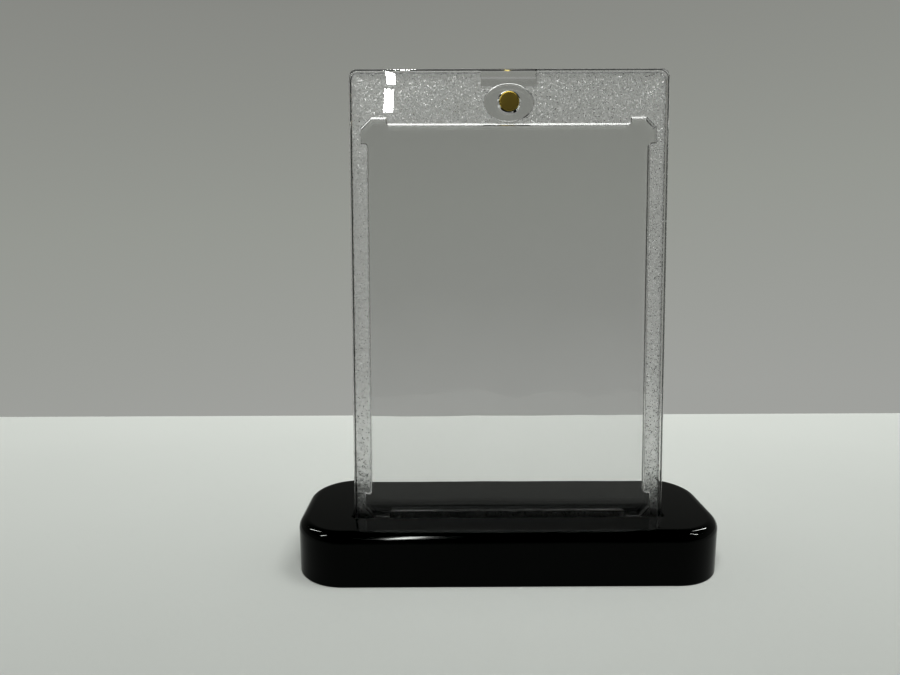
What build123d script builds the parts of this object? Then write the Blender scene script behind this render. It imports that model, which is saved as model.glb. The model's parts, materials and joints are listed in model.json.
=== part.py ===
from build123d import *
import os
from math import cos, radians, sin

# Trading card display case: two clear moulded halves that clip together along
# their bottom edge and hold shut with a pair of magnets, standing in the slot
# of a black moulded stand.
#
# All sizes are in millimetres. The frame has +X to the right, +Y to the back
# and +Z up, with its origin on the table under the middle of the stand.
# The case is first drawn upright, with its two halves meeting at y = 0 and its
# bottom edge at z = 0, and is then leaned back and lowered into the slot.

# ---------------------------------------------------------------- card pocket
card_width = 63.5
card_height = 88.9
card_play = 0.4           # room left in the pocket, across and upwards
back_recess = 1.1         # pocket depth moulded into the back half
cover_recess = 0.5        # pocket depth moulded into the front cover
relief_reach = 4.2        # how far a corner relief runs along each edge
relief_depth = 1.4        # how far a corner relief stands outside the pocket
relief_chamfer = 2.2      # cut across the outer corner of a relief
pad_round = 0.6           # rounding where a straight edge ends at a relief
pocket_round = 0.35       # rounding of the pocket's mouth

# ----------------------------------------------------------------- clear case
side_border = 3.9
top_border = 11.8
bottom_border = 8.0
half_thickness = 2.75
parting_gap = 0.1         # air left between the two halves when shut
case_corner = 1.8         # corner radius seen from the front
case_edge_round = 0.35    # rounding of the outer edges
parting_bevel = 0.15      # bevel of the edges that meet at the seam

# -------------------------------------------------------------------- magnets
magnet_diameter = 4.5
magnet_thickness = 2.0
magnet_bevel = 0.2
magnet_play = 0.05        # radial room in the bore
bore_lead_in = 0.35       # bevel at the bore's mouth, to start the magnet in
magnet_sunk = 0.05        # how far a magnet stays below the parting face
magnet_from_top = 7.0     # magnet's centre below the case's top edge
oval_width = 11.2         # smooth oval sunk round each magnet
oval_height = 8.2
oval_depth = 0.3
oval_bevel = 0.15         # bevel of the oval's mouth

# --------------------------------------------------------------- thumb notch
notch_width = 12.7
notch_depth = 1.2
notch_round = 0.4
thumb_reach = 3.4         # smooth path sunk below the notch, down to the oval

# ------------------------------------------------- clip-on hinge at the bottom
hook_spacing = 44.0       # between the middles of the two hooks
hook_width = 9.0
hook_thickness = 1.1
hook_tip_angle = 25.0     # where a hook ends, above the line to the back
hook_root = 0.6           # how deep a hook is rooted in the cover
hook_play = 0.1           # running room round a hook
hook_side_play = 0.25     # room at each end of a hook
bar_radius = 1.2          # quarter-round bar that a hook turns on

# ---------------------------------------------------------------------- stand
stand_width = 98.0
stand_depth = 34.0
stand_height = 12.5
stand_corner = 11.4       # corner radius seen from above
stand_top_round = 2.3
stand_foot_round = 0.3
stand_wall = 1.8
stand_roof = 2.0
lean = 5.0                # degrees that the case leans back
slot_forward = 5.0        # slot's middle in front of the stand's middle
slot_depth = 7.5          # along the leaning case
slot_play = 0.25          # room in front of and behind the case
slot_end_play = 0.4       # room at each end of the case
slot_wall = 1.5           # wall moulded round the slot, under the roof
slot_floor = 1.5
slot_lead_in = 1.8        # how much the slot's rear wall slopes back to its mouth
slot_lead_depth = 3.2     # how far below the stand's top that slope starts
slot_corner = 0.5
mouth_bevel = 0.3
rib_thickness = 1.2
rib_pitch = 24.0
rib_lift = 1.0            # ribs stop this far above the table

# ------------------------------------------------------------- worked-out sizes
pocket_width = card_width + card_play
pocket_height = card_height + card_play
case_width = pocket_width + 2 * side_border
case_height = bottom_border + pocket_height + top_border
case_thickness = 2 * half_thickness + parting_gap
pocket_middle = bottom_border + pocket_height / 2
magnet_height = case_height - magnet_from_top
hook_inner = bar_radius + hook_play
hook_outer = hook_inner + hook_thickness
window_height = hook_outer + hook_play
slot_width = case_thickness + 2 * slot_play
slot_length = case_width + 2 * slot_end_play

# Where the upright case's frame goes: its bottom edge sits on the slot's floor.
seat = Location(
    (0, -slot_forward - slot_depth * sin(radians(lean)), stand_height - slot_depth * cos(radians(lean))),
    (-lean, 0, 0),
)


def upright(sketch, thickness):
    """A plate whose outline is drawn in X and Z, from y = 0 towards the back."""
    return extrude(Plane.XZ * sketch, amount=-thickness)


def pocket_outline():
    """The card pocket: a rectangle with a chamfered relief at each corner, so that
    the card is held by its straight edges and its corners touch nothing."""
    outline = Rectangle(pocket_width, pocket_height)
    side = relief_reach + relief_depth
    offset = (relief_depth - relief_reach) / 2
    for right in (-1, 1):
        for up in (-1, 1):
            relief = Rectangle(side, side)
            outer_corner = max(relief.vertices(), key=lambda v: right * v.X + up * v.Y)
            relief = chamfer(outer_corner, relief_chamfer)
            outline += Pos(
                right * (pocket_width / 2 + offset), up * (pocket_height / 2 + offset)
            ) * relief
    pads = [
        v
        for v in outline.vertices()
        if on_straight_edge(abs(v.X), abs(v.Y), pocket_width / 2, pocket_height / 2)
    ]
    return Pos(0, pocket_middle) * fillet(pads, pad_round)


def on_straight_edge(x, y, half_width, half_height):
    """Whether a point of the outline ends one of the pocket's straight edges."""
    tiny = 1e-6
    on_side = abs(x - half_width) < tiny and y < half_height - tiny
    on_end = abs(y - half_height) < tiny and x < half_width - tiny
    return on_side or on_end


def magnet_oval():
    """The smooth oval round a magnet."""
    return Pos(0, magnet_height) * Ellipse(oval_width / 2, oval_height / 2)


def magnet_bore():
    """The magnet's blind bore, from the parting face, with its bevelled mouth in the oval."""
    radius = magnet_diameter / 2 + magnet_play
    place = Pos(0, magnet_height)
    bore = upright(place * Circle(radius), magnet_sunk + magnet_thickness)
    mouth = Plane.XZ * (place * Circle(radius + bore_lead_in))
    return bore + Pos(0, oval_depth, 0) * extrude(mouth, amount=-bore_lead_in, taper=45)


def mouth_edges(half, outline):
    """The edges where a sunk outline meets a half's parting face."""
    parting_face = half.faces().sort_by(Axis.Y)[0]
    middle = (Plane.XZ * outline).center()
    mouth = min(parting_face.inner_wires(), key=lambda wire: (wire.center() - middle).length)
    return mouth.edges()


def half_blank(recess):
    """One half as moulded, before its own features: parting face at y = 0, outer
    face towards the back, with the pocket, the oval and the magnet's bore."""
    outline = Pos(0, case_height / 2) * RectangleRounded(case_width, case_height, case_corner)
    blank = upright(outline, half_thickness)
    blank = fillet(blank.faces().sort_by(Axis.Y)[-1].edges(), case_edge_round)
    blank = chamfer(blank.faces().sort_by(Axis.Y)[0].edges(), parting_bevel)
    blank -= upright(pocket_outline(), recess)
    blank = fillet(mouth_edges(blank, pocket_outline()), pocket_round)
    blank -= upright(magnet_oval(), oval_depth)
    blank = chamfer(mouth_edges(blank, magnet_oval()), oval_bevel)
    return blank - magnet_bore()


def magnet():
    """A plated disc magnet in its bore, on the bore's floor."""
    disc = upright(Pos(0, magnet_height) * Circle(magnet_diameter / 2), magnet_thickness)
    disc = chamfer(disc.edges().filter_by(GeomType.CIRCLE), magnet_bevel)
    return Pos(0, magnet_sunk, 0) * disc


def to_back(piece):
    """Moves a piece drawn from y = 0 backwards to the back half's side of the seam."""
    return Pos(0, parting_gap / 2, 0) * piece


def to_front(piece):
    """Turns a piece drawn from y = 0 backwards round to the cover's side of the seam."""
    return Pos(0, -parting_gap / 2, 0) * mirror(piece, about=Plane.XZ)


def hook_places():
    """The middles of the two hooks, across the case."""
    return [-hook_spacing / 2, hook_spacing / 2]


def hinge_hook():
    """One hook of the cover, in section a bent bar about the hinge line. It reaches
    over the back half's bar and down behind it, so the cover can only swing."""
    tip = radians(hook_tip_angle)
    outer_tip = (hook_outer * cos(tip), hook_outer * sin(tip))
    inner_tip = (hook_inner * cos(tip), hook_inner * sin(tip))
    root = -(parting_gap / 2 + hook_root)
    swing = 90 - hook_tip_angle
    profile = Curve() + [
        CenterArc((0, 0), hook_outer, hook_tip_angle, swing),
        Line((0, hook_outer), (root, hook_outer)),
        Line((root, hook_outer), (root, hook_inner)),
        Line((root, hook_inner), (0, hook_inner)),
        CenterArc((0, 0), hook_inner, hook_tip_angle, swing),
        Line(inner_tip, outer_tip),
    ]
    return extrude(Plane.YZ * make_face(profile), amount=hook_width / 2, both=True)


def hinge_window():
    """The opening in the back half that a hook works in."""
    width = hook_width + 2 * hook_side_play
    return Box(width, half_thickness, window_height, align=(Align.CENTER, Align.MIN, Align.MIN))


def hinge_bar():
    """The quarter-round bar across a window, about the hinge line at y = 0, z = 0."""
    width = hook_width + 2 * hook_side_play
    rod = Rotation(0, 90, 0) * Cylinder(bar_radius, width)
    reach = 2 * bar_radius
    behind_seam = Pos(0, parting_gap / 2, 0) * Box(
        width, reach, reach, align=(Align.CENTER, Align.MIN, Align.MIN)
    )
    return rod & behind_seam


def back_half():
    """The half that the card lies in, with the thumb notch and the hinge bars."""
    half = half_blank(back_recess)
    notch = RectangleRounded(notch_width, 2 * notch_depth, notch_round)
    half -= upright(Pos(0, case_height) * notch, half_thickness)
    thumb_path = Rectangle(notch_width, thumb_reach, align=(Align.CENTER, Align.MAX))
    half -= upright(Pos(0, case_height) * thumb_path, oval_depth)
    half = to_back(half)
    for x in hook_places():
        half -= Pos(x, parting_gap / 2, 0) * hinge_window()
        half += Pos(x, 0, 0) * hinge_bar()
    return half


def front_cover():
    """The half that swings open, with its two hooks."""
    cover = to_front(half_blank(cover_recess))
    for x in hook_places():
        cover += Pos(x, 0, 0) * hinge_hook()
    return cover


def slot_space(extra_width, extra_floor):
    """The space of the slot in the upright case's frame, grown all round and below."""
    outline = RectangleRounded(
        slot_length + 2 * extra_width, slot_width + 2 * extra_width, slot_corner + extra_width
    )
    height = slot_depth + extra_floor + stand_height
    return Pos(0, 0, -extra_floor) * extrude(outline, height)


def slot_lead():
    """The space that slopes the upper part of the slot's rear wall back, so that the
    case finds its way in. It ends at the slot's rounded corners."""
    foot = slot_depth - slot_lead_depth
    rear = slot_width / 2
    profile = Polyline(
        (0, foot),
        (rear, foot),
        (rear + 2 * slot_lead_in, foot + 2 * slot_lead_depth),
        (0, foot + 2 * slot_lead_depth),
        close=True,
    )
    reach = slot_length / 2 - slot_corner
    return extrude(Plane.YZ * make_face(profile), amount=reach, both=True)


def rib_places():
    """Where the cross ribs stand: the middle one and as many each side as fit."""
    side = int((slot_length / 2) // rib_pitch)
    return [n * rib_pitch for n in range(-side, side + 1)]


def stand_ribs():
    """Cross ribs that tie the slot's walls to the front and rear of the stand."""
    rib = Box(
        rib_thickness,
        stand_depth,
        stand_height - rib_lift,
        align=(Align.CENTER, Align.CENTER, Align.MIN),
    )
    return [Pos(x, 0, rib_lift) * rib for x in rib_places()]


def stand_base():
    """The moulded stand: an open-bottomed shell with the leaning slot let into its roof."""
    body = extrude(RectangleRounded(stand_width, stand_depth, stand_corner), stand_height)
    body = fillet(body.faces().sort_by(Axis.Z)[-1].edges(), stand_top_round)
    body = fillet(body.faces().sort_by(Axis.Z)[0].edges(), stand_foot_round)
    cavity = extrude(
        RectangleRounded(
            stand_width - 2 * stand_wall, stand_depth - 2 * stand_wall, stand_corner - stand_wall
        ),
        stand_height - stand_roof,
    )
    inside = (seat * slot_space(slot_wall, slot_floor) + stand_ribs()) & cavity
    stand = body - cavity + inside - seat * (slot_space(0, 0) + slot_lead())
    mouth = stand.faces().sort_by(Axis.Z)[-1].inner_wires()[0].edges()
    return chamfer(mouth, mouth_bevel)


pieces = {
    "stand_base": stand_base(),
    "back_half": seat * back_half(),
    "front_cover": seat * front_cover(),
    "back_magnet": seat * to_back(magnet()),
    "front_magnet": seat * to_front(magnet()),
}

os.makedirs("parts", exist_ok=True)
for name, piece in pieces.items():
    export_step(piece, f"parts/{name}.step")
    print(f"{name}: {len(piece.solids())} solid, {piece.volume:.1f} mm3")
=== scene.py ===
"""Looks of the trading card display case: a clear two-part case that leans in a black stand.

Lengths are in metres, apart from names that end in _mm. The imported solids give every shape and
place. This script gives them their surfaces, turns the two plated magnets as rounded discs, and
sets up a pale table, soft light and a camera.
"""

import json
import logging
import math
from dataclasses import dataclass, field
from enum import Enum
from typing import Any, Iterable, Mapping

import bpy
from mathutils import Matrix, Vector


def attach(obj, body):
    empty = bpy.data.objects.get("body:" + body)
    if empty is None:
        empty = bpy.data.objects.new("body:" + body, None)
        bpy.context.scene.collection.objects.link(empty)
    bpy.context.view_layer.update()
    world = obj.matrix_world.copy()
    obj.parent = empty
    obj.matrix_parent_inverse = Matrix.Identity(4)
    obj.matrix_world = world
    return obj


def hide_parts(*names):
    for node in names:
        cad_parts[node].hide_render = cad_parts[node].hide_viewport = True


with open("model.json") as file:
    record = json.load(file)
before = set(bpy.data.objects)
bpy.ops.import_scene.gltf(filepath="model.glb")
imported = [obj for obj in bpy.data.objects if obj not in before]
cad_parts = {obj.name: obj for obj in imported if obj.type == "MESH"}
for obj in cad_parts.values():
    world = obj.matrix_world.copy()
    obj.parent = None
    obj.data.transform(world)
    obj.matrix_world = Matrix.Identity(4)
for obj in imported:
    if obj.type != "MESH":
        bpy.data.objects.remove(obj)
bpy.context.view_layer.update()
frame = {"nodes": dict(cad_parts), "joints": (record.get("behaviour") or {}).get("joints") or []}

LOG = logging.getLogger("display_case")
MM = 0.001

# Depths of a ray under these have no bounce, or at most one.
NO_BOUNCE = 0.5
ONE_BOUNCE = 1.5


# ------------------------------------------------------------------ small helpers


def linear(hex_colour: str) -> tuple[float, float, float, float]:
    """Turns an sRGB hex colour into linear light.

    Args:
        hex_colour: Six hex digits after a #.

    Returns:
        Red, green, blue and an alpha of 1.
    """
    parts = [int(hex_colour[i : i + 2], 16) / 255 for i in (1, 3, 5)]
    red, green, blue = (
        v / 12.92 if v <= 0.04045 else ((v + 0.055) / 1.055) ** 2.4 for v in parts
    )
    return red, green, blue, 1.0


def add_node(
    tree: bpy.types.NodeTree,
    kind: str,
    inputs: Mapping[str | int, Any] | None = None,
    **settings: Any,
) -> bpy.types.Node:
    """Adds one node with its settings, its input values and its links.

    Args:
        tree: The node tree that gets the node.
        kind: The node's type, such as ShaderNodeMath.
        inputs: For an input's name or number, a value, or the socket that feeds it.
        **settings: The node's own settings, such as operation.

    Returns:
        The new node.
    """
    node = tree.nodes.new(kind)
    for name, value in settings.items():
        setattr(node, name, value)
    for key, value in (inputs or {}).items():
        if isinstance(value, bpy.types.NodeSocket):
            tree.links.new(value, node.inputs[key])
        else:
            node.inputs[key].default_value = value
    return node


def calc(tree: bpy.types.NodeTree, operation: str, *values: Any) -> bpy.types.NodeSocket:
    """Adds a Math node.

    Args:
        tree: The node tree that gets the node.
        operation: What the node does, such as ADD.
        *values: Its inputs in order, as numbers or sockets.

    Returns:
        The socket with the result.
    """
    node = add_node(tree, "ShaderNodeMath", dict(enumerate(values)), operation=operation)
    return node.outputs[0]


def vector_calc(tree: bpy.types.NodeTree, operation: str, *values: Any) -> bpy.types.NodeSocket:
    """Adds a Vector Math node.

    Args:
        tree: The node tree that gets the node.
        operation: What the node does. For SCALE, the second value is the scale.
        *values: Its inputs in order, as vectors, numbers or sockets.

    Returns:
        The socket with the result, a number for LENGTH and DOT_PRODUCT and else a vector.
    """
    inputs = dict(enumerate(values))
    if operation == "SCALE":
        inputs["Scale"] = inputs.pop(1)
    node = add_node(tree, "ShaderNodeVectorMath", inputs, operation=operation)
    return node.outputs["Value" if operation in ("LENGTH", "DOT_PRODUCT") else "Vector"]


def remap(
    tree: bpy.types.NodeTree,
    value: bpy.types.NodeSocket,
    source: tuple[float, float],
    target: tuple[float, float] = (0.0, 1.0),
    smooth: bool = False,
) -> bpy.types.NodeSocket:
    """Adds a Map Range node, which stays within its target.

    Args:
        tree: The node tree that gets the node.
        value: The socket with the value to map.
        source: The values that become the two ends of the target.
        target: The two ends of the result.
        smooth: Whether the result eases in and out.

    Returns:
        The socket with the result.
    """
    names = ("From Min", "From Max", "To Min", "To Max")
    inputs = {"Value": value, **dict(zip(names, source + target))}
    kind = "SMOOTHSTEP" if smooth else "LINEAR"
    return add_node(tree, "ShaderNodeMapRange", inputs, interpolation_type=kind).outputs[0]


def blend(tree: bpy.types.NodeTree, share: Any, first: Any, second: Any) -> bpy.types.NodeSocket:
    """Adds a Mix node for two colours.

    Args:
        tree: The node tree that gets the node.
        share: How much of the second colour shows, from 0 to 1.
        first: The colour at a share of 0.
        second: The colour at a share of 1.

    Returns:
        The socket with the colour.
    """
    inputs = {"Factor": share, 6: first, 7: second}
    return add_node(tree, "ShaderNodeMix", inputs, data_type="RGBA").outputs[2]


def noise(
    tree: bpy.types.NodeTree, place: bpy.types.NodeSocket, grain: float, **inputs: float
) -> Mapping[str, bpy.types.NodeSocket]:
    """Adds a Noise Texture node.

    Args:
        tree: The node tree that gets the node.
        place: The point to look up.
        grain: The size of the noise's grain, in the point's own unit.
        **inputs: The node's other inputs, such as Detail.

    Returns:
        The node's outputs.
    """
    return add_node(
        tree, "ShaderNodeTexNoise", {"Vector": place, "Scale": 1 / grain, **inputs}
    ).outputs


def new_material(name: str) -> tuple[bpy.types.Material, bpy.types.NodeTree]:
    """Makes an empty node material.

    Args:
        name: The material's name.

    Returns:
        The material and its node tree.
    """
    material = bpy.data.materials.new(name)
    material.use_nodes = True
    material.node_tree.nodes.clear()
    return material, material.node_tree


def finish_shader(tree: bpy.types.NodeTree, inputs: Mapping[str, Any]) -> None:
    """Adds a material's Principled shader and its output.

    Args:
        tree: The material's node tree.
        inputs: The shader's inputs by name.
    """
    shader = add_node(tree, "ShaderNodeBsdfPrincipled", inputs)
    add_node(tree, "ShaderNodeOutputMaterial", {"Surface": shader.outputs[0]})


def dress(piece: bpy.types.Object, material: bpy.types.Material) -> None:
    """Gives every material slot of a piece one material.

    Args:
        piece: The object to dress.
        material: Its new material.
    """
    if not piece.material_slots:
        piece.data.materials.append(material)
    for slot in piece.material_slots:
        slot.material = material


def link_object(name: str, data: bpy.types.ID) -> bpy.types.Object:
    """Puts a mesh, light or camera in the scene as an object at the origin.

    Args:
        name: The object's name.
        data: What the object shows.

    Returns:
        The object.
    """
    piece = bpy.data.objects.new(name, data)
    bpy.context.scene.collection.objects.link(piece)
    return piece


class Body(Enum):
    """The moving bodies that the turned pieces ride on."""

    BACK = "case_back"
    COVER = "case_cover"


# ------------------------------------------------------------------------- seat


@dataclass(frozen=True)
class Seat:
    """Where the case stands: drawn upright with its hinge line at the origin, then leaned back.

    Attributes:
        hinge: A point on the hinge line.
        lean: How far the case leans back, in radians.
    """

    hinge: Vector
    lean: float

    @classmethod
    def from_joints(cls, joints: Iterable[Mapping[str, Any]]) -> "Seat":
        """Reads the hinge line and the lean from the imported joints.

        Args:
            joints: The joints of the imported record.

        Returns:
            The seat of the case.
        """
        by_name = {joint["name"]: joint for joint in joints}
        up = Vector(by_name["case_lift"]["axis"])
        return cls(Vector(by_name["cover_open"]["pos_m"]), math.atan2(up.y, up.z))

    @property
    def placing(self) -> Matrix:
        """The move from the upright case to the case in its stand."""
        return Matrix.Translation(self.hinge) @ Matrix.Rotation(-self.lean, 4, "X")

    def upright_box_mm(self, piece: bpy.types.Object) -> tuple[Vector, Vector]:
        """Measures a piece as if the case stood upright.

        Args:
            piece: A mesh object in its place in the stand.

        Returns:
            The lowest and highest corner, in millimetres.
        """
        back = self.placing.inverted()
        points = [back @ vertex.co for vertex in piece.data.vertices]
        low = Vector(min(p[i] for p in points) for i in range(3))
        high = Vector(max(p[i] for p in points) for i in range(3))
        return low / MM, high / MM

    def upright_coordinates(self, tree: bpy.types.NodeTree) -> bpy.types.NodeSocket:
        """Adds nodes that give a surface point in the upright case, in millimetres.

        Args:
            tree: The material's node tree.

        Returns:
            The socket with the point.
        """
        turn = Matrix.Rotation(self.lean, 3, "X")
        mapping = add_node(
            tree,
            "ShaderNodeMapping",
            {
                "Vector": add_node(tree, "ShaderNodeTexCoord").outputs["Object"],
                "Location": turn @ self.hinge / -MM,
                "Rotation": (self.lean, 0, 0),
                "Scale": (1 / MM,) * 3,
            },
        )
        return mapping.outputs["Vector"]


# --------------------------------------------------------------------- finishes


@dataclass(frozen=True)
class ClearPolystyrene:
    """General-purpose polystyrene, injection moulded in a polished mould.

    It is water-clear and mirrors more than acrylic does. The border of each parting face was
    spark-eroded in the mould, which leaves a coarse, slightly milky grain that sparkles.

    Attributes:
        corner_mm: Outer corner radius of the case.
        parting_depth_mm: How far from the parting plane a face still counts as the parting face.
        smooth_margin_mm: Clear rim outside the grain, and rim_fade_mm where the grain sets in.
        thumb_path_width_mm: Width of the smooth path under the thumb notch, and
            thumb_path_reach_mm how far it comes down from the top edge.
        grain_tilt: Slope of the fine grain; glint_tilt that of the facets that sparkle.
        glint_share: Share of the facets that sparkle.
        milkiness: Light that the grain scatters, up to its full amount at
            painted_slot_shade_fade_top_mm.
        Below painted_slot_shade_top_mm, painted shade in place of the slot's shade takes it all
        away, so the grain that sits in the slot looks black.
        wave_tilt: Slope of the slow waves of the smooth skin.
    """

    seat: Seat
    half_width_mm: float
    height_mm: float
    tint: str = "#fefefe"
    ior: float = 1.59
    corner_mm: float = 1.8
    parting_depth_mm: float = 0.09
    smooth_margin_mm: float = 0.3
    rim_fade_mm: float = 0.25
    thumb_path_width_mm: float = 12.7
    thumb_path_reach_mm: float = 3.4
    grain_mm: float = 0.2
    grain_tilt: float = 0.3
    grain_roughness: float = 0.28
    glint_mm: float = 0.18
    glint_share: float = 0.45
    glint_tilt: float = 0.6
    milkiness: float = 0.07
    painted_slot_shade_top_mm: float = 8.0
    painted_slot_shade_fade_top_mm: float = 24.0
    wave_mm: float = 14.0
    wave_tilt: float = 0.012

    def material(self) -> bpy.types.Material:
        """Builds the clear material with its frosted border."""
        material, tree = new_material("clear_moulded_polystyrene")
        place = self.seat.upright_coordinates(tree)
        axes = add_node(tree, "ShaderNodeSeparateXYZ", {0: place}).outputs
        frost = self.frosted(tree, place, axes)
        # Painted shade: the grain's milkiness fades out towards the hinge, in place of the slot's
        # shade.
        painted_slot_shade_heights = (self.painted_slot_shade_top_mm, self.painted_slot_shade_fade_top_mm)
        milkiness_under_painted_slot_shade = remap(tree, axes["Z"], painted_slot_shade_heights, (0.0, -self.milkiness))
        finish_shader(
            tree,
            {
                "Base Color": linear(self.tint),
                "IOR": self.ior,
                "Transmission Weight": calc(tree, "MULTIPLY_ADD", frost, milkiness_under_painted_slot_shade, 1.0),
                "Roughness": calc(tree, "MULTIPLY", frost, self.grain_roughness),
                "Normal": self.grained_normal(tree, place, frost),
            },
        )
        return material

    def frosted(
        self,
        tree: bpy.types.NodeTree,
        place: bpy.types.NodeSocket,
        axes: Mapping[str, bpy.types.NodeSocket],
    ) -> bpy.types.NodeSocket:
        """Marks the spark-eroded border: 1 on it and 0 elsewhere.

        Args:
            tree: The material's node tree.
            place: The point in the upright case, in millimetres.
            axes: The point's three parts.

        Returns:
            The socket with the mark.
        """
        half_height = self.height_mm / 2
        inner = (self.half_width_mm - self.corner_mm, 0.0, half_height - self.corner_mm)
        centred = vector_calc(tree, "SUBTRACT", place, (0, 0, half_height))
        flat = vector_calc(tree, "MULTIPLY", centred, (1, 0, 1))
        folded = vector_calc(tree, "ABSOLUTE", flat)
        past_inner = vector_calc(tree, "SUBTRACT", folded, inner)
        outside = vector_calc(tree, "MAXIMUM", past_inner, (0, 0, 0))
        reach = vector_calc(tree, "LENGTH", outside)
        edge = self.corner_mm - self.smooth_margin_mm
        in_border = remap(tree, reach, (edge, edge - self.rim_fade_mm), smooth=True)

        depth = calc(tree, "ABSOLUTE", axes["Y"])
        on_parting = calc(tree, "LESS_THAN", depth, self.parting_depth_mm)

        across = calc(tree, "ABSOLUTE", axes["X"])
        beside_thumb = calc(tree, "GREATER_THAN", across, self.thumb_path_width_mm / 2)
        path_end = self.height_mm - self.thumb_path_reach_mm
        below_thumb = calc(tree, "LESS_THAN", axes["Z"], path_end)
        off_thumb = calc(tree, "MAXIMUM", beside_thumb, below_thumb)

        face = calc(tree, "MULTIPLY", on_parting, off_thumb)
        return calc(tree, "MULTIPLY", face, in_border)

    def grained_normal(
        self,
        tree: bpy.types.NodeTree,
        place: bpy.types.NodeSocket,
        frost: bpy.types.NodeSocket,
    ) -> bpy.types.NodeSocket:
        """Tilts the surface at random: grain by grain on the frost, and in slow waves all over.

        Args:
            tree: The material's node tree.
            place: The point in the upright case, in millimetres.
            frost: How frosted the point is, from 0 to 1.

        Returns:
            The socket with the surface's direction.
        """
        grain = noise(tree, place, self.grain_mm, Detail=3.0, Roughness=0.7)
        waves = noise(tree, place, self.wave_mm, Detail=1.0)
        facets = add_node(
            tree, "ShaderNodeTexVoronoi", {"Vector": place, "Scale": 1 / self.glint_mm}
        )
        picks = add_node(
            tree, "ShaderNodeSeparateColor", {0: facets.outputs["Color"]}
        ).outputs
        leaning = add_node(tree, "ShaderNodeCombineXYZ", {0: picks[1], 1: 0.5, 2: picks[2]})
        glinting = calc(tree, "LESS_THAN", picks[0], self.glint_share)
        glint = calc(tree, "MULTIPLY", glinting, frost)
        tilts = (
            self.tilt(tree, grain["Color"], frost, self.grain_tilt),
            self.tilt(tree, leaning.outputs[0], glint, self.glint_tilt),
            self.tilt(tree, waves["Color"], 1.0, self.wave_tilt),
        )
        total = add_node(tree, "ShaderNodeNewGeometry").outputs["Normal"]
        for tilt in tilts:
            turned = add_node(
                tree,
                "ShaderNodeVectorTransform",
                {"Vector": tilt},
                vector_type="VECTOR",
                convert_from="OBJECT",
                convert_to="WORLD",
            )
            total = vector_calc(tree, "ADD", total, turned.outputs[0])
        return vector_calc(tree, "NORMALIZE", total)

    @staticmethod
    def tilt(
        tree: bpy.types.NodeTree,
        random: bpy.types.NodeSocket,
        share: bpy.types.NodeSocket | float,
        most: float,
    ) -> bpy.types.NodeSocket:
        """Turns a random colour into a tilt.

        Args:
            tree: The material's node tree.
            random: A colour with each part spread round a half.
            share: How much of the tilt the point gets, from 0 to 1.
            most: The tilt for a colour part of 0 or 1, as a slope.

        Returns:
            The socket with the tilt, to add to the surface's direction.
        """
        even = vector_calc(tree, "SUBTRACT", random, (0.5, 0.5, 0.5))
        scaled = vector_calc(tree, "SCALE", even, 2 * most)
        return vector_calc(tree, "SCALE", scaled, share)


@dataclass(frozen=True)
class BlackAbs:
    """Black ABS, injection moulded in a mirror-polished mould.

    It mirrors the room like piano lacquer, with the faint waves that a moulded skin has.

    Attributes:
        specular: Share of the usual mirroring; half is the full amount for this index.
        handling_mm: Size of the patches that handling has dulled.
        handling_levels: Noise levels that are untouched and fully dulled.
        gloss_range: Roughness of an untouched and of a fully dulled patch.
    """

    colour: str = "#060807"
    ior: float = 1.5
    specular: float = 0.22
    wave_mm: float = 9.0
    wave_height_mm: float = 0.006
    handling_mm: float = 14.0
    handling_levels: tuple[float, float] = (0.3, 0.75)
    gloss_range: tuple[float, float] = (0.05, 0.11)

    def material(self) -> bpy.types.Material:
        """Builds the glossy black material."""
        material, tree = new_material("black_gloss_abs")
        place = add_node(tree, "ShaderNodeTexCoord").outputs["Object"]
        handled = noise(tree, place, self.handling_mm * MM, Detail=5.0)["Fac"]
        waves = noise(tree, place, self.wave_mm * MM, Detail=1.0)["Fac"]
        skin = add_node(
            tree, "ShaderNodeBump", {"Height": waves, "Distance": self.wave_height_mm * MM}
        )
        finish_shader(
            tree,
            {
                "Base Color": linear(self.colour),
                "IOR": self.ior,
                "Specular IOR Level": self.specular,
                "Roughness": remap(tree, handled, self.handling_levels, self.gloss_range),
                "Normal": skin.outputs[0],
            },
        )
        return material


@dataclass(frozen=True)
class GoldPlating:
    """Thin bright gold plating over a sintered magnet.

    The plating follows the tumbled blank, so it is satin rather than mirror bright.

    Attributes:
        roughness_range: Roughness of the smoothest and of the most pitted spots.
    """

    colour: str = "#f2db80"
    roughness_range: tuple[float, float] = (0.154, 0.286)
    pit_mm: float = 0.18
    pit_depth_mm: float = 0.004

    def material(self) -> bpy.types.Material:
        """Builds the plated material."""
        material, tree = new_material("gold_plating_on_magnet")
        place = add_node(tree, "ShaderNodeTexCoord").outputs["Object"]
        pits = noise(tree, place, self.pit_mm * MM, Detail=3.0)["Fac"]
        skin = add_node(
            tree, "ShaderNodeBump", {"Height": pits, "Distance": self.pit_depth_mm * MM}
        )
        finish_shader(
            tree,
            {
                "Base Color": linear(self.colour),
                "Metallic": 1.0,
                "Roughness": remap(tree, pits, (0.0, 1.0), self.roughness_range),
                "Normal": skin.outputs[0],
            },
        )
        return material


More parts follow.
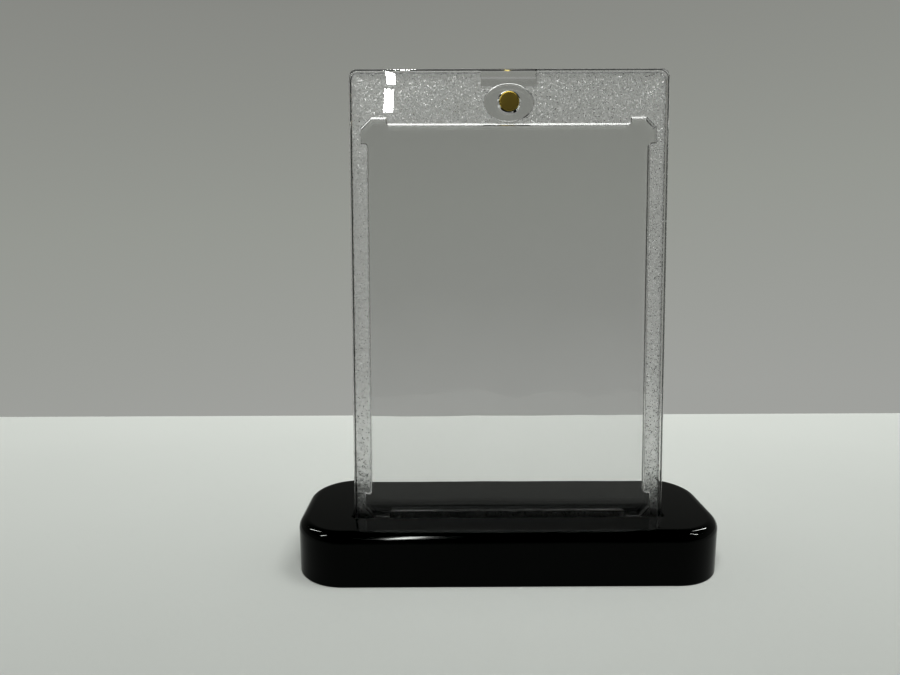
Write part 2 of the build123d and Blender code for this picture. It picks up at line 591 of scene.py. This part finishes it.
@dataclass(frozen=True)
class PaleTable:
    """Matt white board, a little uneven in tone, with painted shade that makes it darker away
    from the wall.

    Attributes:
        mottle_depth: How much of its tone the darkest mottle keeps.
        painted_shade_depths: Y where the painted shade is deepest and where it ends; it stands in
            for the lamps' light falling off towards the front.
        shade: Share of its tone that the board keeps under the deepest painted shade.
        mirrored_painted_shadow_depths: The same two depths for the board as glossy surfaces
            mirror it;
            there a painted shadow stands in for the viewer's shadow on its front.
        mirrored_painted_shadow: Share of its tone that it keeps under that painted shadow.
    """

    colour: str = "#e7eae6"
    roughness: float = 0.7
    mottle_mm: float = 60.0
    mottle_depth: float = 0.97
    painted_shade_depths: tuple[float, float] = (-0.06, 0.122)
    shade: float = 0.67
    mirrored_painted_shadow_depths: tuple[float, float] = (-0.06, -0.045)
    mirrored_painted_shadow: float = 0.5

    def material(self) -> bpy.types.Material:
        """Builds the table's material."""
        material, tree = new_material("pale_table")
        place = add_node(tree, "ShaderNodeTexCoord").outputs["Object"]
        mottle = noise(tree, place, self.mottle_mm * MM, Detail=3.0)["Fac"]
        full = Vector(linear(self.colour))
        tone = blend(tree, mottle, full * self.mottle_depth, full)

        depth = add_node(tree, "ShaderNodeSeparateXYZ", {0: place}).outputs["Y"]
        # Painted shade: the board's colour darkens towards the front, in place of the lamps'
        # light falling off.
        shade = remap(tree, depth, self.painted_shade_depths, (self.shade, 1.0))
        # Painted shadow: only in glossy reflections is the board's front darker, in place of the
        # viewer's shadow.
        painted_shadow_in_mirror = remap(tree, depth, self.mirrored_painted_shadow_depths, (self.mirrored_painted_shadow, 1.0))
        mirrored = add_node(tree, "ShaderNodeLightPath").outputs["Glossy Depth"]
        painted_shadow_if_mirrored = add_node(tree, "ShaderNodeMix", {"Factor": mirrored, 2: 1.0, 3: painted_shadow_in_mirror})
        # Both painted shades scale the board's colour.
        light = calc(tree, "MULTIPLY", shade, painted_shadow_if_mirrored.outputs[0])
        finish_shader(
            tree,
            {
                "Base Color": vector_calc(tree, "SCALE", tone, light),
                "Roughness": self.roughness,
                "Specular IOR Level": 0.0,
            },
        )
        return material


# ----------------------------------------------------------------- sub-assemblies


@dataclass
class DisplayStand:
    """The moulded stand that the case leans in."""

    finish: BlackAbs = field(default_factory=BlackAbs)
    node: str = "stand_base"

    def build(self, nodes: Mapping[str, bpy.types.Object]) -> None:
        """Dresses the stand.

        Args:
            nodes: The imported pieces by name.
        """
        dress(nodes[self.node], self.finish.material())
        LOG.info("%s: glossy black", self.node)


@dataclass
class ClearCase:
    """The two moulded halves of the case."""

    seat: Seat
    halves: tuple[str, ...] = ("back_half", "front_cover")

    def build(self, nodes: Mapping[str, bpy.types.Object]) -> None:
        """Dresses both halves in the same clear plastic.

        Args:
            nodes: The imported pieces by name.
        """
        low, high = self.seat.upright_box_mm(nodes[self.halves[0]])
        finish = ClearPolystyrene(self.seat, half_width_mm=high.x, height_mm=high.z)
        material = finish.material()
        for name in self.halves:
            dress(nodes[name], material)
            # Clear plastic throws no dark shadow; without this, Cycles gives it one.
            nodes[name].visible_shadow = False
            LOG.info("%s: clear, %.1f by %.1f mm", name, 2 * high.x, high.z - low.z)


@dataclass
class MagnetPair:
    """The two plated disc magnets, turned with a rounded edge by one Geometry Nodes tree.

    Attributes:
        edge_round_mm: Radius of the rounded edge.
        edge_steps: Points that the rounded edge is made with.
        turn_steps: Steps of the whole turn.
        flat_above: A face whose direction's Z is above this is flat and not shaded smooth.
        merge_mm: Points closer than this, as on the axis, become one.
        places: The body that each magnet rides on.
    """

    seat: Seat
    finish: GoldPlating = field(default_factory=GoldPlating)
    edge_round_mm: float = 0.28
    edge_steps: int = 6
    turn_steps: int = 96
    flat_above: float = 0.999
    merge_mm: float = 0.001
    places: Mapping[str, Body] = field(
        default_factory=lambda: {"back_magnet": Body.BACK, "front_magnet": Body.COVER}
    )

    def disc_tree(self) -> bpy.types.GeometryNodeTree:
        """Builds the tree that turns a disc about Z from a profile with rounded corners.

        Returns:
            A tree with inputs for the disc's sizes and material.
        """
        tree = bpy.data.node_groups.new("turned_disc", "GeometryNodeTree")
        tree.interface.new_socket("Geometry", in_out="OUTPUT", socket_type="NodeSocketGeometry")
        kinds = {
            "Geometry": "Geometry",
            "Diameter": "Float",
            "Thickness": "Float",
            "Edge Round": "Float",
            "Edge Steps": "Int",
            "Turn Steps": "Int",
            "Finish": "Material",
        }
        for name, kind in kinds.items():
            tree.interface.new_socket(name, in_out="INPUT", socket_type=f"NodeSocket{kind}")
        sizes = add_node(tree, "NodeGroupInput").outputs
        section = add_node(
            tree,
            "GeometryNodeCurvePrimitiveQuadrilateral",
            {
                "Width": calc(tree, "MULTIPLY", sizes["Diameter"], 1 / 2),
                "Height": sizes["Thickness"],
            },
        )
        opened = add_node(
            tree, "GeometryNodeSetSplineCyclic", {"Geometry": section.outputs[0], "Cyclic": False}
        )
        # Half a turn brings the open side of the section to the axis.
        outward = add_node(
            tree,
            "GeometryNodeTransform",
            {"Geometry": opened.outputs[0], "Rotation": (0, 0, math.pi)},
        )
        rounded = add_node(
            tree,
            "GeometryNodeFilletCurve",
            {
                "Curve": outward.outputs[0],
                "Radius": sizes["Edge Round"],
                "Count": sizes["Edge Steps"],
            },
            mode="POLY",
        )
        path = add_node(
            tree,
            "GeometryNodeCurvePrimitiveCircle",
            {
                "Resolution": sizes["Turn Steps"],
                "Radius": calc(tree, "MULTIPLY", sizes["Diameter"], 1 / 4),
            },
        )
        swept = add_node(
            tree,
            "GeometryNodeCurveToMesh",
            {"Curve": path.outputs[0], "Profile Curve": rounded.outputs[0]},
        )
        closed = add_node(
            tree,
            "GeometryNodeMergeByDistance",
            {"Geometry": swept.outputs[0], "Distance": self.merge_mm * MM},
        )
        facing = add_node(tree, "GeometryNodeInputNormal")
        axes = add_node(tree, "ShaderNodeSeparateXYZ", {0: facing.outputs[0]})
        upward = calc(tree, "ABSOLUTE", axes.outputs["Z"])
        curved = add_node(
            tree, "FunctionNodeCompare", {0: upward, 1: self.flat_above}, operation="LESS_THAN"
        )
        shaded = add_node(
            tree,
            "GeometryNodeSetShadeSmooth",
            {"Geometry": closed.outputs[0], "Shade Smooth": curved.outputs[0]},
        )
        dressed = add_node(
            tree,
            "GeometryNodeSetMaterial",
            {"Geometry": shaded.outputs[0], "Material": sizes["Finish"]},
        )
        add_node(tree, "NodeGroupOutput", {"Geometry": dressed.outputs[0]})
        return tree

    def turn_disc(
        self,
        name: str,
        tree: bpy.types.GeometryNodeTree,
        values: Mapping[str, Any],
        placing: Matrix,
    ) -> bpy.types.Object:
        """Runs the tree once and keeps its result as a plain mesh in its place.

        Args:
            name: The new piece's name.
            tree: The tree from disc_tree.
            values: The tree's inputs by name.
            placing: The move from a disc about Z at the origin to its seat.

        Returns:
            The finished disc, at the origin with its place in its mesh.
        """
        blank = link_object(f"{name}_blank", bpy.data.meshes.new(f"{name}_blank"))
        turning = blank.modifiers.new("turned_disc", "NODES")
        turning.node_group = tree
        for socket in tree.interface.items_tree:
            if socket.in_out == "INPUT" and socket.name in values:
                turning[socket.identifier] = values[socket.name]
        graph = bpy.context.evaluated_depsgraph_get()
        mesh = bpy.data.meshes.new_from_object(blank.evaluated_get(graph))
        mesh.name = name
        mesh.transform(placing)
        blank.modifiers.remove(turning)
        bpy.data.objects.remove(blank)
        return link_object(name, mesh)

    def build(self, nodes: Mapping[str, bpy.types.Object]) -> None:
        """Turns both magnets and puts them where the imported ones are.

        Args:
            nodes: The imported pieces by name.
        """
        tree = self.disc_tree()
        material = self.finish.material()
        for name, body in self.places.items():
            low, high = self.seat.upright_box_mm(nodes[name])
            middle = (low + high) / 2 * MM
            values = {
                "Diameter": (high.x - low.x) * MM,
                "Thickness": (high.y - low.y) * MM,
                "Edge Round": self.edge_round_mm * MM,
                "Edge Steps": self.edge_steps,
                "Turn Steps": self.turn_steps,
                "Finish": material,
            }
            placing = (
                self.seat.placing
                @ Matrix.Translation(middle)
                @ Matrix.Rotation(math.pi / 2, 4, "X")
            )
            disc = self.turn_disc(f"plated_{name}", tree, values, placing)
            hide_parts(name)
            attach(disc, body.value)
            LOG.info("%s: %d faces", disc.name, len(disc.data.polygons))


# ----------------------------------------------------------------------- studio


@dataclass(frozen=True)
class Lamp:
    """A rectangular lamp that points at the case, with its angles in degrees.

    Attributes:
        azimuth: 0 is towards the viewer's side, and it grows to the right.
        radiance: How bright each part of its face is.
        soft: A soft lamp lights matt surfaces and isn't mirrored. Any other lamp is mirrored
            in glossy surfaces and lights nothing else.
    """

    name: str
    azimuth: float
    elevation: float
    distance: float
    width: float
    length: float
    radiance: float
    soft: bool = False

    @property
    def way(self) -> Vector:
        """The direction from the case to the lamp."""
        azimuth, elevation = math.radians(self.azimuth), math.radians(self.elevation)
        level = math.cos(elevation)
        return Vector(
            (math.sin(azimuth) * level, -math.cos(azimuth) * level, math.sin(elevation))
        )


@dataclass(frozen=True)
class Window:
    """A bright window far off in the room, in degrees, with azimuth as for a lamp."""

    azimuth: float
    half_width: float
    elevations: tuple[float, float]
    radiance: float


@dataclass
class Studio:
    """The pale table, the soft room round it, the lamps and the camera.

    Attributes:
        heading: How far the camera turns left, in degrees; pitch is how far it looks down.
        wall_tones: The wall's tone by height, a direction's Z less wall_tilt times its X.
        front_tones: The tone of the room behind the viewer by a direction's Z.
        front_edges: A direction's Y where the room behind the viewer gives way to the wall.
        ceiling_edges: Height at which the ceiling's light sets in and where it is full.
        ceiling_tilt: How far the ceiling's light leans to the left, as a slope.
        aim: The point that the lamps point at.
        contrast: Contrast of a phone's picture, and black_level its darkest tone.
    """

    table_half_width: float = 0.7
    table_front: float = -0.6
    table_back: float = 0.122
    focal_length_mm: float = 26.04
    camera_place: tuple[float, float, float] = (-0.01398, -0.15119, 0.07782)
    camera_near: float = 0.01
    heading: float = -0.207
    pitch: float = 9.107
    roll: float = -0.185
    wall_tones: Mapping[float, str] = field(
        default_factory=lambda: {
            -0.24: "#b9bab7",
            0.04: "#b1b3ae",
            0.31: "#a6a7a3",
            0.44: "#9a9b97",
            0.7: "#585956",
        }
    )
    wall_tilt: float = 0.08
    front_tones: Mapping[float, str] = field(
        default_factory=lambda: {
            -0.25: "#929491",
            -0.1: "#8c8e8b",
            0.08: "#383838",
            0.3: "#3a3a3a",
        }
    )
    front_edges: tuple[float, float] = (-0.75, -0.45)
    ceiling_colour: str = "#fdfffc"
    ceiling_edges: tuple[float, float] = (0.42, 0.72)
    ceiling_tilt: float = 0.2
    ceiling_radiance: float = 1.6
    windows: tuple[Window, ...] = (
        Window(-5.0, 1.4, (31.0, 61.0), 60.0),
        Window(-116.0, 2.0, (35.0, 55.0), 60.0),
        Window(-68.0, 2.0, (35.0, 55.0), 60.0),
        Window(68.0, 2.0, (35.0, 55.0), 60.0),
        Window(118.0, 2.0, (35.0, 55.0), 60.0),
    )
    aim: tuple[float, float, float] = (0, 0, 0.06)
    lamps: tuple[Lamp, ...] = (
        Lamp("upper_pane", -6.1, 24.46, 1.6, 0.025, 0.031, 40.0),
        Lamp("lower_pane", -6.37, 22.6, 1.6, 0.025, 0.052, 40.0),
        Lamp("soft_front", -8.0, 62.0, 1.2, 0.6, 0.4, 17.0, soft=True),
        Lamp("soft_right", 80.0, 68.0, 1.2, 0.5, 0.5, 5.0, soft=True),
    )
    contrast: float = 1.45
    black_level: float = 0.006

    def build_table(self) -> None:
        """Lays the table under the object."""
        corners = [
            (-self.table_half_width, self.table_front, 0),
            (self.table_half_width, self.table_front, 0),
            (self.table_half_width, self.table_back, 0),
            (-self.table_half_width, self.table_back, 0),
        ]
        mesh = bpy.data.meshes.new("table")
        mesh.from_pydata(corners, [], [(0, 1, 2, 3)])
        table = link_object("table", mesh)
        dress(table, PaleTable().material())

    def build_surroundings(self) -> None:
        """Makes the soft room out of its walls, a bright ceiling and far windows.

        The walls light everything. The ceiling shows only through the clear plastic, where it
        makes the frost glow, and the windows only where they are mirrored.
        """
        world = bpy.data.worlds.new("soft_room")
        bpy.context.scene.world = world
        world.use_nodes = True
        # Sampling the world as a lamp would light the table with the ceiling and windows too.
        world.cycles.sampling_method = "NONE"
        tree = world.node_tree
        tree.nodes.clear()
        way = add_node(tree, "ShaderNodeTexCoord").outputs["Generated"]
        axes = add_node(tree, "ShaderNodeSeparateXYZ", {0: way}).outputs
        path = add_node(tree, "ShaderNodeLightPath").outputs
        white = linear(self.ceiling_colour)
        lights = (
            {"Color": self.room_tone(tree, way, axes, path)},
            {"Color": white, "Strength": self.ceiling_glow(tree, way, path)},
            {"Color": white, "Strength": self.mirrored_windows(tree, axes, path)},
        )
        total, *others = (
            add_node(tree, "ShaderNodeBackground", light).outputs[0] for light in lights
        )
        for light in others:
            total = add_node(tree, "ShaderNodeAddShader", {0: total, 1: light}).outputs[0]
        add_node(tree, "ShaderNodeOutputWorld", {"Surface": total})

    def room_tone(
        self,
        tree: bpy.types.NodeTree,
        way: bpy.types.NodeSocket,
        axes: Mapping[str, bpy.types.NodeSocket],
        path: Mapping[str, bpy.types.NodeSocket],
    ) -> bpy.types.NodeSocket:
        """Adds the room's tones: a grey wall, and a dim side behind the viewer.

        The dim side shows in mirrors and in the light on matt surfaces. A view that looks that
        way sees the grey wall there as well.

        Args:
            tree: The world's node tree.
            way: The direction.
            axes: The direction's three parts.
            path: What kind of ray looks.

        Returns:
            The socket with the colour.
        """
        height = vector_calc(tree, "DOT_PRODUCT", way, (-self.wall_tilt, 0, 1))
        wall = self.ramp(tree, height, self.wall_tones)
        front = self.ramp(tree, axes["Z"], self.front_tones)
        bounces = calc(tree, "ADD", path["Glossy Depth"], path["Diffuse Depth"])
        straight = calc(tree, "LESS_THAN", bounces, NO_BOUNCE)
        behind = remap(tree, axes["Y"], self.front_edges)
        return blend(tree, calc(tree, "MAXIMUM", behind, straight), front, wall)

    def ceiling_glow(
        self,
        tree: bpy.types.NodeTree,
        way: bpy.types.NodeSocket,
        path: Mapping[str, bpy.types.NodeSocket],
    ) -> bpy.types.NodeSocket:
        """Adds the ceiling's light, which shows through the clear plastic alone.

        Args:
            tree: The world's node tree.
            way: The direction.
            path: What kind of ray looks.

        Returns:
            The socket with the ceiling's light.
        """
        height = vector_calc(tree, "DOT_PRODUCT", way, (-self.ceiling_tilt, 0, 1))
        overhead = remap(
            tree, height, self.ceiling_edges, (0.0, self.ceiling_radiance), smooth=True
        )
        return calc(tree, "MULTIPLY", path["Is Transmission Ray"], overhead)

    def mirrored_windows(
        self,
        tree: bpy.types.NodeTree,
        axes: Mapping[str, bpy.types.NodeSocket],
        path: Mapping[str, bpy.types.NodeSocket],
    ) -> bpy.types.NodeSocket:
        """Adds the room's windows, which show in mirroring surfaces alone.

        Args:
            tree: The world's node tree.
            axes: The direction's three parts.
            path: What kind of ray looks.

        Returns:
            The socket with the windows' light.
        """
        toward = calc(tree, "MULTIPLY", axes["Y"], -1.0)
        azimuth = calc(tree, "ARCTAN2", axes["X"], toward)
        total: bpy.types.NodeSocket | float = 0.0
        for window in self.windows:
            low, high = (math.sin(math.radians(edge)) for edge in window.elevations)
            middle, half_width = math.radians(window.azimuth), math.radians(window.half_width)
            aside = calc(tree, "COMPARE", azimuth, middle, half_width)
            raised = calc(tree, "COMPARE", axes["Z"], (low + high) / 2, (high - low) / 2)
            inside = calc(tree, "MULTIPLY", aside, raised)
            total = calc(tree, "MULTIPLY_ADD", inside, window.radiance, total)
        first = calc(tree, "LESS_THAN", path["Glossy Depth"], ONE_BOUNCE)
        # A reflection ray may also be one that a matt surface scatters, so both are asked.
        glossy = calc(tree, "MULTIPLY", path["Is Reflection Ray"], path["Is Glossy Ray"])
        mirrored = calc(tree, "MULTIPLY", glossy, first)
        return calc(tree, "MULTIPLY", mirrored, total)

    @staticmethod
    def ramp(
        tree: bpy.types.NodeTree, value: bpy.types.NodeSocket, stops: Mapping[float, str]
    ) -> bpy.types.NodeSocket:
        """Adds a colour ramp over a value.

        Args:
            tree: The node tree.
            value: The socket that the ramp follows.
            stops: Colours by the value they stand at, from low to high.

        Returns:
            The socket with the colour.
        """
        low, high = min(stops), max(stops)
        ramp = add_node(tree, "ShaderNodeValToRGB", {0: remap(tree, value, (low, high))})
        elements = ramp.color_ramp.elements
        while len(elements) < len(stops):
            elements.new(0.5)
        for element, (at, colour) in zip(elements, sorted(stops.items())):
            element.position = (at - low) / (high - low)
            element.color = linear(colour)
        return ramp.outputs[0]

    def build_lamps(self) -> None:
        """Hangs the lamps and points them at the case."""
        for lamp in self.lamps:
            data = bpy.data.lights.new(lamp.name, "AREA")
            data.shape = "RECTANGLE"
            data.size, data.size_y = lamp.width, lamp.length
            data.energy = lamp.radiance * lamp.width * lamp.length * math.pi
            light = link_object(lamp.name, data)
            light.location = Vector(self.aim) + lamp.way * lamp.distance
            light.rotation_euler = lamp.way.to_track_quat("Z", "Y").to_euler()
            light.visible_diffuse = lamp.soft
            light.visible_glossy = not lamp.soft
            light.visible_transmission = False

    def build_camera(self) -> None:
        """Sets the camera at the photograph's place and angle."""
        data = bpy.data.cameras.new("camera")
        data.lens = self.focal_length_mm
        data.clip_start = self.camera_near
        camera = link_object("camera", data)
        camera.matrix_world = (
            Matrix.Translation(self.camera_place)
            @ Matrix.Rotation(math.radians(self.heading), 4, "Z")
            @ Matrix.Rotation(math.radians(90 - self.pitch), 4, "X")
            @ Matrix.Rotation(math.radians(self.roll), 4, "Z")
        )
        bpy.context.scene.camera = camera

    def set_tone(self) -> None:
        """Sets the contrast that a phone camera gives."""
        view = bpy.context.scene.view_settings
        view.view_transform = "Standard"
        view.gamma = 1 / self.contrast
        view.use_curve_mapping = True
        view.curve_mapping.black_level = (self.black_level,) * 3

    def build(self) -> None:
        """Sets up everything round the object."""
        self.build_table()
        self.build_surroundings()
        self.build_lamps()
        self.build_camera()
        self.set_tone()


def main() -> None:
    """Builds the sub-assemblies in order, then the studio."""
    logging.basicConfig(level=logging.INFO, format="%(name)s: %(message)s")
    seat = Seat.from_joints(frame["joints"])
    for part in (DisplayStand(), ClearCase(seat), MagnetPair(seat)):
        part.build(frame["nodes"])
    Studio().build()


if __name__ == "__main__":
    main()
